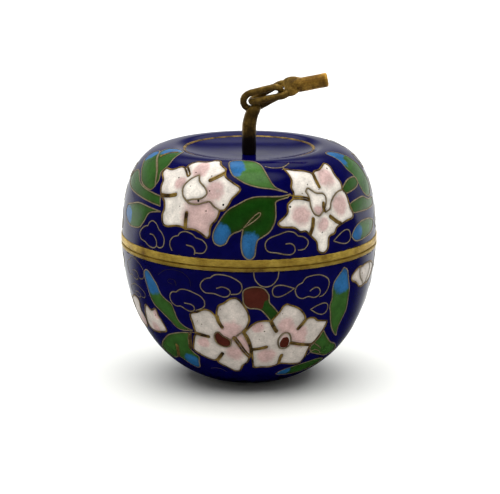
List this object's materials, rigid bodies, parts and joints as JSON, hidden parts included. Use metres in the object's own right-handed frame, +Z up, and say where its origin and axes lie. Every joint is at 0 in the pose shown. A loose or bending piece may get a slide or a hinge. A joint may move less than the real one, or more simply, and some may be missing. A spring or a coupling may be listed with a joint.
{
  "type": "cloisonne enamel trinket box",
  "caption": "Apple-shaped enamel trinket box: hollow bowl, lift-off domed lid, brass edges, and a brass stem of linked rods.",
  "frame": {"origin": "centre of the flat foot, on the surface that the box stands on", "axes": "+Z up, the stem leans towards +X, the face of the box that the picture shows looks along -Y"},
  "size_m": [0.056, 0.056, 0.0672],
  "materials": {
    "cobalt_enamel": "glossy fired enamel, cobalt ground with flowers and leaves between brass wires",
    "rim_brass": "satin brass, a little worn",
    "stem_brass": "aged brass with dark patina low down"
  },
  "bodies": {
    "root": {"bowl": "cobalt_enamel", "bowl_rim": "rim_brass", "lid": "cobalt_enamel", "lid_rim": "rim_brass", "stem": "stem_brass", "stem_twig": "stem_brass"}
  },
  "joints": []
}
